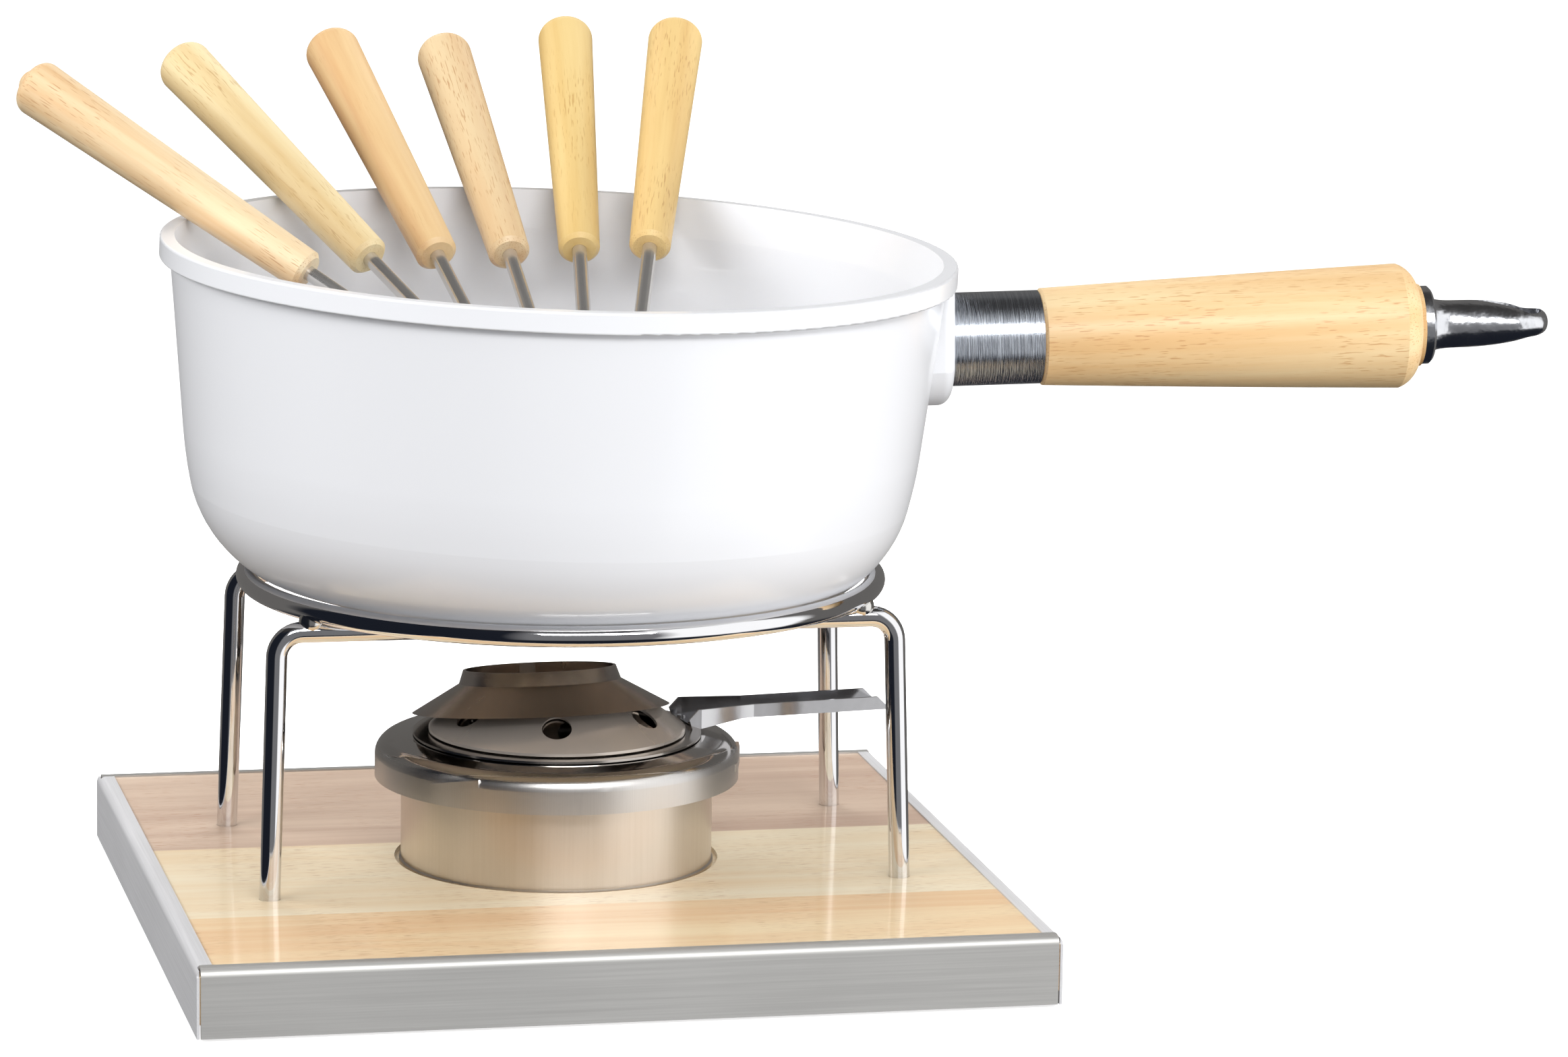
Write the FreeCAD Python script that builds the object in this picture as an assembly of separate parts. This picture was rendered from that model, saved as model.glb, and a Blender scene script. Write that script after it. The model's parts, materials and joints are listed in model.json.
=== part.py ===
"""Fondue set: framed wooden base, bent-wire stand, pan with six forks, and a burner with a regulator.

Millimetres, +Z up. The origin is on the surface the set stands on, under the middle of the base.
+X points along the pan's handle side, -Y is the front. Every piece is one closed solid, or a group of
equal ones, written to parts/NAME.step.
"""
import FreeCAD, Part
import math
import os
from FreeCAD import Matrix, Placement, Rotation, Vector

# ---- base: a wooden board in a frame of four folded steel strips -------------------------------------
base_side = 253.4          # outside of the frame, square
foot_proud = 1.0           # how far the rubber feet stand below the frame
frame_height = 20.5
frame_sheet = 0.8
frame_lip = 5.0            # width of the strip's folded top
frame_fold_radius = 2.5    # outside radius of the fold
corner_gap = 0.4           # open joint between two strips
board_thickness = 16.0
lip_rebate = 0.3           # the lip lies this deep in the board's edge
foot_diameter = 14.0
foot_inset = 26.0          # foot centre from the base's side
foot_recess = 1.0          # depth of the foot's seat in the board

# ---- stand: two bent wires and a ring ----------------------------------------------------------------
wire_diameter = 6.3
ring_radius = 95.25        # centre line of the ring
ring_height = 106.2        # centre of the ring's wire above the frame's lower edge
stand_x = 0.9              # the stand sits a little off the middle of the board
stand_y = 3.1
leg_x = 95.6               # half the spread of the legs at the board
leg_y = 48.6
leg_lean_x = 0.0307        # inward lean of a leg, per unit of height
leg_lean_y = 0.0257
bend_radius = 7.5          # centre line of the bend from leg to bar
leg_seat_depth = 11.0      # how deep a leg stands in the board
leg_fit = 0.05             # radial clearance of a leg in its hole
weld_radius = 3.7
screw_diameter = 3.0
screw_length = 9.0
screw_head_diameter = 5.6
screw_head_height = 2.2
screw_fit = 0.02
washer_diameter = 9.0
washer_thickness = 0.8
counterbore_diameter = 9.6

# ---- pan: cast bowl with a turned-out lip, rocked a little to its handle side ------------------------
rim_radius = 120.0
lip_height = 6.4
lip_edge_radius = 0.7
rim_face_width = 4.4       # flat top of the rim
wall_radius_at_lip = 116.8
wall_taper = 6.0           # degrees from upright
belly_radius = 130.0       # arc from the straight wall into the corner
corner_radius = 38.0       # the arc that sits in the ring
corner_centre_radius = 71.6
corner_centre_depth = 66.0
corner_start = 13.0        # degrees from upright where belly and corner meet
heel_radius = 8.0          # small arc from the corner to the flat bottom
pan_height = 99.4
wall_thickness = 3.0
floor_thickness = 2.4
inner_flare_depth = 12.0   # the wall thins to the rim over this depth
seat_gap = 0.30            # pan to ring
pan_lean = 1.9             # degrees
pan_lean_direction = -28.0 # degrees from +X

# ---- handle ------------------------------------------------------------------------------------------
handle_turn = -4.2         # degrees from +X, seen from above
handle_rise = 3.1          # degrees above the rim's plane
handle_depth = 25.6        # axis below the rim where it meets the boss
boss_face = 119.4          # distance of the boss's flat face from the pan's axis
boss_width = 37.0
boss_top = 7.0             # upper edge below the rim
boss_bottom = 45.5
boss_root = 109.5          # the boss is rooted in the wall from here
boss_edge_round = 3.8      # round the boss's sides and lower end, outside the collar
collar_diameter = 28.5
collar_wall = 0.9
collar_length = 28.0
grip_length = 118.5
grip_start_diameter = 29.6
grip_middle_diameter = 34.4
grip_end_diameter = 38.2
grip_start_round = 1.0
grip_end_round = 7.0
grip_crown = 1.6           # rise of the grip's domed end
tenon_length = 22.0
tenon_fit = 0.05
tie_rod_diameter = 6.0
tie_rod_fit = 0.05
tie_rod_in_boss = 7.0
tie_rod_in_cap = 12.0
flange_diameter = 24.0
flange_thickness = 3.4
flange_chamfer = 0.8
neck_diameter = 14.6
neck_start = 7.0           # behind the flange's seat
neck_end = 15.0
eye_tip = 40.6             # end of the hanging eye from the flange's seat
eye_width = 17.0
eye_thickness_root = 14.0
eye_thickness_tip = 9.6
eye_hole_diameter = 8.6
eye_hole_from_tip = 7.4
scoop_width = 11.0          # hollow in the eye's upper side

# ---- forks -------------------------------------------------------------------------------------------
fork_grip_length = 111.5
fork_grip_narrow = 13.0
fork_grip_wide = 17.5
fork_grip_chamfer = 1.3
fork_grip_round = 4.2
fork_grip_crown = 2.4
fork_grip_flat = 2.0       # small flat in the middle of the crown
fork_rod_diameter = 4.6
fork_rod_fit = 0.03
fork_rod_free = 157.3      # from the grip to the prongs' points
fork_rod_in_grip = 32.0
fork_head_length = 30.0
fork_neck_diameter = 3.2
fork_blade_length = 5.0
fork_blade_width = 8.4
fork_blade_thickness = 2.1
prong_diameter = 2.0
prong_pitch = 3.2
prong_point = 3.0
fork_seat = 0.30           # grip to rim
# each fork: where its points stand in the pan (x, y, height over the floor) and which way it leans
fork_places = [
    (41.8, -61.6, 13.6, 144.70),
    (23.0, -66.0, 11.9, 120.90),
    (6.7, -63.4, 4.6, 103.54),
    (8.8, -65.6, 7.5, 94.53),
    (6.4, -56.5, 0.7, 83.91),
    (7.4, -58.7, 3.5, 75.15),
]

# ---- burner ------------------------------------------------------------------------------------------
burner_x = -1.0
burner_y = -2.9
recess_depth = 1.5
recess_clearance = 1.4     # recess beyond the burner's bead
cup_diameter = 94.6
cup_wall = 0.7
cup_height = 37.35
cup_floor = 0.9
bead_diameter = 95.6       # seamed bottom edge
bead_height = 1.7
cup_seat = 0.05
cup_flange_diameter = 105.4
lug_reach = 1.2
lug_width = 4.0            # degrees
lug_lead = 6.0             # degrees from a ramp's low end to the lug that holds it
lug_gap = 0.2
wadding_height = 26.0
gauze_diameter = 60.0
gauze_thickness = 0.8
lid_diameter = 110.6
lid_sheet = 0.8
lid_skirt = 11.8
lid_shoulder_radius = 5.0
lid_seat_gap = 0.3         # lid to the cup's mouth
lid_step_diameter = 90.0   # flat middle of the lid, above the sloping rim
lid_step_height = 0.8
throat_diameter = 34.0
throat_height = 14.3
vent_diameter = 6.5
vent_ring_radius = 22.5
vent_count = 6
ramp_count = 3
ramp_start = -143.0        # degrees
ramp_sweep = 18.0
ramp_height = 2.4
ramp_rise = 3.2
ramp_low = 3.8             # ramp's low end above the skirt's edge
ramp_out = 0.35
ramp_in = 1.2
dome_diameter = 78.0
dome_slope = 35.0          # degrees
dome_flat_diameter = 49.0
dome_sheet = 0.7
dome_rim_gap = 0.45        # dome to the regulator beneath it
air_hole_diameter = 9.0
air_hole_radius = 30.0
air_hole_count = 6
air_hole_turn = -100.5     # degrees
regulator_diameter = 87.6
regulator_sheet = 0.7
regulator_gap = 0.3        # regulator to the lid
regulator_bore = 0.4       # running clearance round the throat
regulator_offset = 9.0     # degrees its holes are turned from the dome's
lever_turn = 7.5           # degrees
lever_width = 13.6
lever_flange = 4.0
lever_sheet = 0.9
lever_reach = 104.5        # tip from the burner's axis
lever_tip_chamfer = 3.0
lever_root = 40.1
lever_ear = 1.0              # the side walls reach this far inside the foot
lever_root_width = 20.0
lever_foot_end = 43.0      # flat foot on the regulator
lever_bend_end = 57.0
lever_lift = 1.9           # outer part above the foot
lever_rivet_diameter = 1.6
lever_rivet_pitch = 10.0
lever_rivet_head = 0.5
cone_offset_x = -4.1       # the flame cone sits askew over the dome
cone_offset_y = 5.1
cone_height = 46.3        # middle of its lower edge above the burner's foot
cone_lean = 8.25           # degrees back
cone_side_lean = 1.2       # degrees to the left
cone_lower_diameter = 78.4
cone_shoulder_diameter = 49.4
cone_upper_diameter = 46.6
cone_shoulder_height = 8.3
cone_full_height = 12.4
cone_sheet = 0.8
stay_turns = [345.0, 200.0, 90.0]
stay_radius = 24.0
stay_width = 5.0
stay_thickness = 1.2

# ---- places worked out from the sizes above ----------------------------------------------------------
half = base_side / 2
frame_low = foot_proud
frame_top = foot_proud + frame_height
board_top = frame_top - frame_sheet + lip_rebate
board_low = board_top - board_thickness
wire_radius = wire_diameter / 2
ring_z = frame_low + ring_height
bar_z = ring_z - wire_diameter
leg_end_z = board_top - leg_seat_depth
recess_floor = board_top - recess_depth
cup_foot = recess_floor + cup_seat
cup_mouth = cup_foot + cup_height
lid_top = cup_mouth + lid_seat_gap + lid_sheet
lid_low = lid_top - lid_skirt
step_top = lid_top + lid_step_height
regulator_low = step_top + regulator_gap
regulator_top = regulator_low + regulator_sheet
dome_low = regulator_top + dome_rim_gap

parts = {}


def rad(degrees):
    return math.radians(degrees)


def save(name, *solids):
    """Keep a node: one solid, or a group of separate ones."""
    parts[name] = solids[0] if len(solids) == 1 else Part.makeCompound(list(solids))


def cylinder(radius, z0, z1, x=0.0, y=0.0):
    return Part.makeCylinder(radius, z1 - z0, Vector(x, y, z0))


def box(x0, x1, y0, y1, z0, z1):
    return Part.makeBox(x1 - x0, y1 - y0, z1 - z0, Vector(x0, y0, z0))


def turned(edges):
    """Solid of revolution about Z from a closed outline in the XZ plane."""
    face = Part.Face(Part.Wire(edges))
    return face.revolve(Vector(0, 0, 0), Vector(0, 0, 1), 360)


def outline(points):
    """Straight edges through (r, z) points, closed."""
    pts = [Vector(r, 0, z) for r, z in points]
    return [Part.LineSegment(a, b).toShape() for a, b in zip(pts, pts[1:] + pts[:1])]


def lathe(points):
    return turned(outline(points))


def along_x(solid, start):
    """Lay a solid turned about Z down, so that its axis runs along +X from start."""
    out = solid.copy()
    out.transformShape(Placement(start, Rotation(Vector(0, 1, 0), 90)).toMatrix())
    return out


def placed(solid, matrix):
    out = solid.copy()
    out.transformShape(matrix)
    return out


def ring_of(count, start):
    return [start + 360.0 * i / count for i in range(count)]


# ---- base --------------------------------------------------------------------------------------------
def strip(length):
    """One folded strip along X, its outer face on y = 0 and the board on its +Y side."""
    r = frame_fold_radius
    t = frame_sheet
    c = math.sqrt(0.5)
    outer = [(0, 0), (0, frame_height - r), (r * (1 - c), frame_height - r * (1 - c)), (r, frame_height),
             (frame_lip, frame_height)]
    inner = [(frame_lip, frame_height - t), (r, frame_height - t),
             (r - (r - t) * c, frame_height - r + (r - t) * c), (t, frame_height - r), (t, 0)]
    p = [Vector(0, y, z) for y, z in outer + inner]
    edges = [Part.LineSegment(p[0], p[1]).toShape(), Part.Arc(p[1], p[2], p[3]).toShape(),
             Part.LineSegment(p[3], p[4]).toShape(), Part.LineSegment(p[4], p[5]).toShape(),
             Part.LineSegment(p[5], p[6]).toShape(), Part.Arc(p[6], p[7], p[8]).toShape(),
             Part.LineSegment(p[8], p[9]).toShape(), Part.LineSegment(p[9], p[0]).toShape()]
    solid = Part.Face(Part.Wire(edges)).extrude(Vector(length, 0, 0))
    solid.translate(Vector(-length / 2, -half, frame_low))
    return solid


def turned_about_z(solid, degrees):
    out = solid.copy()
    out.rotate(Vector(0, 0, 0), Vector(0, 0, 1), degrees)
    return out


def frame():
    end = frame_sheet + corner_gap
    front = strip(base_side - 2 * end)
    side = strip(base_side)
    # a side strip's lip and fold stop at the front and back strips
    reach = frame_lip + corner_gap
    for sign in (-1, 1):
        x_edge = sign * (half - end + corner_gap)
        x0, x1 = sorted((x_edge, sign * (half + 1)))
        side = side.cut(box(x0, x1, -half - 1, -half + reach, 0, frame_top + 1).common(
            box(-half - 1, half + 1, -half + frame_sheet, -half + reach, 0, frame_top + 1)))
        side = side.cut(box(x0, x1, -half - 1, -half + frame_sheet, frame_top - frame_fold_radius,
                            frame_top + 1))
        inner0, inner1 = sorted((x_edge, sign * (half - reach)))
        side = side.cut(box(inner0, inner1, -half + frame_sheet, half, 0, frame_top + 1))
    save("frame_front", front)
    save("frame_right", turned_about_z(side, 90))
    save("frame_back", turned_about_z(front, 180))
    save("frame_left", turned_about_z(side, 270))


def leg_line(sx, sy):
    """Bottom end of a leg, and its direction upwards."""
    up = Vector(-sx * leg_lean_x, -sy * leg_lean_y, 1)
    foot = Vector(stand_x + sx * leg_x, stand_y + sy * leg_y, board_top)
    start = foot - up * leg_seat_depth
    return start, up


def leg_corners():
    return [leg_line(sx, sy) for sx in (-1, 1) for sy in (-1, 1)]


def unit(v):
    out = Vector(v)
    out.normalize()
    return out


def foot_places():
    k = half - foot_inset
    return [(sx * k, sy * k) for sx in (-1, 1) for sy in (-1, 1)]


def board():
    s = half - frame_sheet
    k = half - frame_lip
    shoulder = board_top - lip_rebate
    solid = box(-s, s, -s, s, board_low, shoulder)
    top_edges = [e for e in solid.Edges if all(abs(v.Z - shoulder) < 1e-6 for v in e.Vertexes)]
    solid = solid.makeChamfer(frame_fold_radius - frame_sheet, top_edges)
    solid = solid.fuse(box(-k, k, -k, k, board_low, board_top)).removeSplitter()
    recess_radius = bead_diameter / 2 + recess_clearance
    solid = solid.cut(cylinder(recess_radius, recess_floor, board_top + 1, burner_x, burner_y))
    for start, up in leg_corners():
        u = unit(up)
        hole = Part.makeCylinder(wire_radius + leg_fit, 2 * leg_seat_depth, start, u)
        shank = Part.makeCylinder(screw_diameter / 2 + screw_fit, board_thickness,
                                  start - u * board_thickness, u)
        seat = screw_seat(start, u)
        bore = Part.makeCylinder(counterbore_diameter / 2, board_thickness, seat - u * board_thickness, u)
        solid = solid.cut(hole).cut(shank).cut(bore)
    for x, y in foot_places():
        solid = solid.cut(cylinder(foot_diameter / 2 + leg_fit, board_low - 1, board_low + foot_recess, x, y))
    save("board", solid)


def screw_seat(start, u):
    """Underside of the wood that a leg's screw clamps, on the leg's axis."""
    clamped = (leg_end_z - board_low) / 2
    return start - u * clamped


def feet():
    pads = [cylinder(foot_diameter / 2, 0, board_low + foot_recess, x, y) for x, y in foot_places()]
    save("rubber_feet", *pads)


# ---- stand -------------------------------------------------------------------------------------------
def rounded_path(points, radius):
    """A wire through the points, its corners replaced by tangent arcs."""
    edges = []
    last = points[0]
    for before, here, after in zip(points, points[1:], points[2:]):
        a = unit(before - here)
        b = unit(after - here)
        opening = a.getAngle(b)
        cut = radius / math.tan(opening / 2)
        middle = unit(a + b)
        depth = radius / math.sin(opening / 2) - radius
        start = here + a * cut
        end = here + b * cut
        edges.append(Part.LineSegment(last, start).toShape())
        edges.append(Part.Arc(start, here + middle * depth, end).toShape())
        last = end
    edges.append(Part.LineSegment(last, points[-1]).toShape())
    return Part.Wire(edges)


def swept(path, radius, start, direction):
    profile = Part.Wire(Part.Circle(start, unit(direction), radius).toShape())
    return path.makePipeShell([profile], True, True)


def bent_wire(sy):
    left, up_left = leg_line(-1, sy)
    right, up_right = leg_line(1, sy)
    rise = bar_z - left.z
    path = rounded_path([left, left + up_left * rise, right + up_right * rise, right], bend_radius)
    return swept(path, wire_radius, left, up_left)


def stand():
    front = bent_wire(-1)
    back = bent_wire(1)
    ring = Part.makeTorus(ring_radius, wire_radius, Vector(stand_x, stand_y, ring_z))
    for start, up in leg_corners():
        u = unit(up)
        thread = Part.makeCylinder(screw_diameter / 2 + screw_fit, screw_length, start, u)
        front = front.cut(thread)
        back = back.cut(thread)
    save("front_wire", front)
    save("back_wire", back)
    save("support_ring", ring)
    lean = (bar_z - board_top) * leg_lean_y
    bar_y = leg_y - lean
    bar_x = math.sqrt(ring_radius ** 2 - bar_y ** 2)
    beads = []
    for sx in (-1, 1):
        for sy, wire in ((-1, front), (1, back)):
            middle = Vector(stand_x + sx * bar_x, stand_y + sy * bar_y, (ring_z + bar_z) / 2)
            bead = Part.makeSphere(weld_radius, middle)
            beads.append(bead.cut(ring).cut(wire))
    save("ring_welds", *[s for b in beads for s in b.Solids])


def leg_screws():
    screws = []
    washers = []
    for start, up in leg_corners():
        u = unit(up)
        seat = screw_seat(start, u)
        washer = Part.makeCylinder(washer_diameter / 2, washer_thickness, seat - u * washer_thickness, u)
        washer = washer.cut(Part.makeCylinder(screw_diameter / 2 + screw_fit, 4 * washer_thickness,
                                              seat - u * 2 * washer_thickness, u))
        head_top = seat - u * washer_thickness
        shank = Part.makeCylinder(screw_diameter / 2, screw_length, head_top, u)
        head = Part.makeCylinder(screw_head_diameter / 2, screw_head_height,
                                 head_top - u * screw_head_height, u)
        slot = Part.makeCylinder(screw_diameter / 2 * 0.8, screw_head_height / 2,
                                 head_top - u * screw_head_height, u)
        screws.append(shank.fuse(head).cut(slot).removeSplitter())
        washers.append(washer)
    save("leg_screws", *screws)
    save("leg_washers", *washers)


# ---- pan ---------------------------------------------------------------------------------------------
def pan_seat():
    """How the pan's corner meets the ring: height of the corner's centre, and of the pivot on the axis."""
    across = ring_radius - corner_centre_radius
    reach = corner_radius + wire_radius + seat_gap
    above = math.sqrt(reach ** 2 - across ** 2)
    return ring_z + above, ring_z + ring_radius * above / across


def pan_matrix():
    """From the pan's own frame, with its origin in the middle of the rim's top, to the set's frame."""
    corner_z, pivot_z = pan_seat()
    rim_z = corner_z + corner_centre_depth
    level = Placement(Vector(stand_x, stand_y, rim_z), Rotation())
    axis = Vector(-math.sin(rad(pan_lean_direction)), math.cos(rad(pan_lean_direction)), 0)
    pivot = Vector(stand_x, stand_y, pivot_z)
    rocked = Placement(Vector(0, 0, 0), Rotation(axis, pan_lean), pivot)
    return rocked.multiply(level).toMatrix()


def arc_point(centre_r, centre_z, radius, degrees):
    """Point of an arc at an angle from upright: 0 points outwards, 90 straight down."""
    return centre_r + radius * math.cos(rad(degrees)), centre_z - radius * math.sin(rad(degrees))


def wall_section(inset, bottom_z, heel):
    """Right-hand side of the bowl from the lip to its bottom, moved inwards by inset."""
    cr, cz = corner_centre_radius, -corner_centre_depth
    radius = corner_radius - inset
    br = cr + (corner_radius - belly_radius) * math.cos(rad(corner_start))
    bz = cz - (corner_radius - belly_radius) * math.sin(rad(corner_start))
    belly = belly_radius - inset
    p1 = arc_point(br, bz, belly, wall_taper)
    p2 = arc_point(br, bz, belly, (wall_taper + corner_start) / 2)
    p3 = arc_point(cr, cz, radius, corner_start)
    end = math.degrees(math.asin((cz - bottom_z - heel) / (radius - heel)))
    p4 = arc_point(cr, cz, radius, (corner_start + end) / 2)
    p5 = arc_point(cr, cz, radius, end)
    hr = cr + (radius - heel) * math.cos(rad(end))
    hz = bottom_z + heel
    p6 = arc_point(hr, hz, heel, (end + 90) / 2)
    p7 = arc_point(hr, hz, heel, 90)
    v = [Vector(r, 0, z) for r, z in (p1, p2, p3, p4, p5, p6, p7)]
    return v, [Part.Arc(v[0], v[1], v[2]).toShape(), Part.Arc(v[2], v[3], v[4]).toShape(),
               Part.Arc(v[4], v[5], v[6]).toShape()]


def pan_outer():
    """The bowl's outside as a full solid, with its lip."""
    v, arcs = wall_section(0.0, -pan_height, heel_radius)
    under_lip = -lip_height
    wall_top_r = v[0].x + (under_lip - v[0].z) * math.tan(rad(wall_taper))
    e = lip_edge_radius
    k = e * (1 - math.sqrt(0.5))
    p = [Vector(wall_top_r, 0, under_lip), Vector(rim_radius - e, 0, under_lip),
         Vector(rim_radius - k, 0, under_lip + k), Vector(rim_radius, 0, under_lip + e),
         Vector(rim_radius, 0, -e), Vector(rim_radius - k, 0, -k), Vector(rim_radius - e, 0, 0),
         Vector(0, 0, 0), Vector(0, 0, -pan_height)]
    edges = [Part.LineSegment(v[0], p[0]).toShape(), Part.LineSegment(p[0], p[1]).toShape(),
             Part.Arc(p[1], p[2], p[3]).toShape(), Part.LineSegment(p[3], p[4]).toShape(),
             Part.Arc(p[4], p[5], p[6]).toShape(), Part.LineSegment(p[6], p[7]).toShape(),
             Part.LineSegment(p[7], p[8]).toShape(), Part.LineSegment(p[8], v[6]).toShape()]
    return turned(arcs + edges)


def pan_inner():
    """The space inside the bowl, open past the rim."""
    floor = -pan_height + floor_thickness
    v, arcs = wall_section(wall_thickness, floor, heel_radius)
    flare_r = v[0].x + (-inner_flare_depth - v[0].z) * math.tan(rad(wall_taper))
    top_r = rim_radius - rim_face_width
    p = [Vector(flare_r, 0, -inner_flare_depth), Vector(top_r, 0, 0), Vector(top_r, 0, 5),
         Vector(0, 0, 5), Vector(0, 0, floor)]
    edges = [Part.LineSegment(v[0], p[0]).toShape()]
    edges += [Part.LineSegment(a, b).toShape() for a, b in zip(p, p[1:] + [v[6]])]
    return turned(arcs + edges)


def handle_matrix():
    """From the handle's own frame, +X along its axis and the origin on the boss's face, to the pan's."""
    turn = Rotation(Vector(0, 0, 1), handle_turn)
    rise = Rotation(Vector(0, 1, 0), -handle_rise)
    start = turn.multVec(Vector(boss_face, 0, -handle_depth))
    return Placement(start, turn.multiply(rise)).toMatrix()


def boss():
    """Shield-shaped pad, flat outside, that carries the handle."""
    w = boss_width / 2
    top = handle_depth - boss_top
    low = handle_depth - boss_bottom
    waist = low * 0.35
    pts = [Vector(0, -w, top), Vector(0, w, top), Vector(0, w, waist)]
    edges = [Part.LineSegment(pts[0], pts[1]).toShape(), Part.LineSegment(pts[1], pts[2]).toShape(),
             Part.Arc(pts[2], Vector(0, 0, low), Vector(0, -w, waist)).toShape(),
             Part.LineSegment(Vector(0, -w, waist), pts[0]).toShape()]
    face = Part.Face(Part.Wire(edges))
    depth = boss_face - boss_root
    solid = face.extrude(Vector(-depth, 0, 0))
    # every outside edge but the upper one is rounded
    rim = [e for e in solid.Edges if e.BoundBox.XMin > -0.01 and e.BoundBox.ZMin < top - 0.01]
    solid = solid.makeFillet(boss_edge_round, rim)
    return placed(solid, handle_matrix())


def pan():
    body = pan_outer().fuse(boss()).cut(pan_inner()).removeSplitter()
    bore = Part.makeCylinder(tie_rod_diameter / 2 + tie_rod_fit, tie_rod_in_boss,
                             Vector(-tie_rod_in_boss, 0, 0), Vector(1, 0, 0))
    body = body.cut(placed(bore, handle_matrix()))
    save("pan_body", placed(body.Solids[0], pan_matrix()))


def to_set(solid):
    """Handle frame to the set's frame."""
    return placed(placed(solid, handle_matrix()), pan_matrix())


def collar():
    outer = collar_diameter / 2
    inner = outer - collar_wall
    tube = lathe([(inner, 0), (outer, 0), (outer, collar_length), (inner, collar_length)])
    save("handle_collar", to_set(along_x(tube, Vector(0, 0, 0))))


def grip_radius_points():
    z0 = collar_length
    return [(grip_start_diameter / 2, z0 + grip_start_round),
            (grip_middle_diameter / 2, z0 + grip_length / 2),
            (grip_end_diameter / 2, z0 + grip_length - grip_end_round)]


def grip():
    z0 = collar_length
    z1 = collar_length + grip_length
    tenon = collar_diameter / 2 - collar_wall - tenon_fit
    a, b, c = [Vector(r, 0, z) for r, z in grip_radius_points()]
    k = grip_end_round * (1 - math.sqrt(0.5))
    shoulder = Vector(grip_end_diameter / 2 - k, 0, z1 - grip_crown - k)
    crown = Vector(grip_end_diameter / 2 - grip_end_round, 0, z1 - grip_crown + grip_crown * 0.35)
    seat = flange_diameter / 2 + 0.6
    bore = tie_rod_diameter / 2 + tie_rod_fit
    deep = z0 - tenon_length
    edges = [Part.LineSegment(Vector(bore, 0, deep), Vector(tenon, 0, deep)).toShape(),
             Part.LineSegment(Vector(tenon, 0, deep), Vector(tenon, 0, z0)).toShape(),
             Part.LineSegment(Vector(tenon, 0, z0), Vector(a.x - grip_start_round, 0, z0)).toShape(),
             Part.LineSegment(Vector(a.x - grip_start_round, 0, z0), a).toShape(),
             Part.Arc(a, b, c).toShape(),
             Part.Arc(c, shoulder, crown).toShape(),
             Part.LineSegment(crown, Vector(seat, 0, z1)).toShape(),
             Part.LineSegment(Vector(seat, 0, z1), Vector(bore, 0, z1)).toShape(),
             Part.LineSegment(Vector(bore, 0, z1), Vector(bore, 0, deep)).toShape()]
    save("handle_grip", to_set(along_x(turned(edges), Vector(0, 0, 0))))


def oval(x, width, thickness):
    """Oval outline square to the handle's axis."""
    w, t = Vector(0, width / 2, 0), Vector(0, 0, thickness / 2)
    middle = Vector(x, 0, 0)
    if width < thickness:
        curve = Part.Ellipse(middle + t, middle + w, middle)
    else:
        curve = Part.Ellipse(middle + w, middle + t, middle)
    return Part.Wire(curve.toShape())


def end_cap():
    """Cast end with a flange, a waisted neck and a flattened, scooped hanging eye."""
    f = flange_diameter / 2
    seat = flange_thickness - 1.0
    flange = lathe([(0, 0), (f, 0), (f, flange_thickness - flange_chamfer),
                    (f - flange_chamfer, flange_thickness), (0, flange_thickness)])
    flange = along_x(flange, Vector(0, 0, 0))
    n = neck_diameter
    w = eye_width
    a, b = eye_thickness_root, eye_thickness_tip
    run = eye_tip - neck_end
    sections = [oval(seat, f + n * 0.55, f + n * 0.54), oval(neck_start, n + 0.5, n + 0.4),
                oval(neck_end - 4.0, n + 0.1, n), oval(neck_end, n + 0.7, a + 0.5),
                oval(neck_end + run * 0.3, w - 0.6, a - 0.4), oval(neck_end + run * 0.55, w, (a + b) / 2),
                oval(neck_end + run * 0.76, w - 1.8, b), oval(neck_end + run * 0.9, w * 0.7, b * 0.82),
                oval(neck_end + run * 0.97, w * 0.44, b * 0.58), oval(eye_tip, w * 0.16, b * 0.22)]
    body = flange.fuse(Part.makeLoft(sections, True, False))
    # scoop in the upper side, pointed towards the neck and round at the tip
    hole_x = eye_tip - eye_hole_from_tip
    r = scoop_width / 2
    begin = neck_end + 2.5
    plan = [Part.LineSegment(Vector(begin, 0, 0), Vector(hole_x, -r, 0)).toShape(),
            Part.Arc(Vector(hole_x, -r, 0), Vector(hole_x + r, 0, 0), Vector(hole_x, r, 0)).toShape(),
            Part.LineSegment(Vector(hole_x, r, 0), Vector(begin, 0, 0)).toShape()]
    scoop = Part.Face(Part.Wire(plan)).extrude(Vector(0, 0, a))
    drop = a / 2 / (hole_x + r - begin)
    side = [Vector(begin, -w, a / 2), Vector(eye_tip, -w, a / 2 - drop * (eye_tip - begin)),
            Vector(eye_tip, -w, a), Vector(begin, -w, a)]
    side = Part.Face(Part.makePolygon(side + side[:1])).extrude(Vector(0, 2 * w, 0))
    body = body.cut(scoop.common(side))
    body = body.cut(cylinder(eye_hole_diameter / 2, -a, a, hole_x, 0))
    along = Vector(1, 0, 0)
    bore = Part.makeCylinder(tie_rod_diameter / 2 + tie_rod_fit, tie_rod_in_cap, Vector(0, 0, 0), along)
    body = body.cut(bore).removeSplitter()
    body.translate(Vector(collar_length + grip_length, 0, 0))
    save("handle_end_cap", to_set(body.Solids[0]))


def tie_rod():
    end_gap = 0.5
    x0 = -tie_rod_in_boss + end_gap
    x1 = collar_length + grip_length + tie_rod_in_cap - end_gap
    rod = Part.makeCylinder(tie_rod_diameter / 2, x1 - x0, Vector(x0, 0, 0), Vector(1, 0, 0))
    save("handle_tie_rod", to_set(rod))


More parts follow.
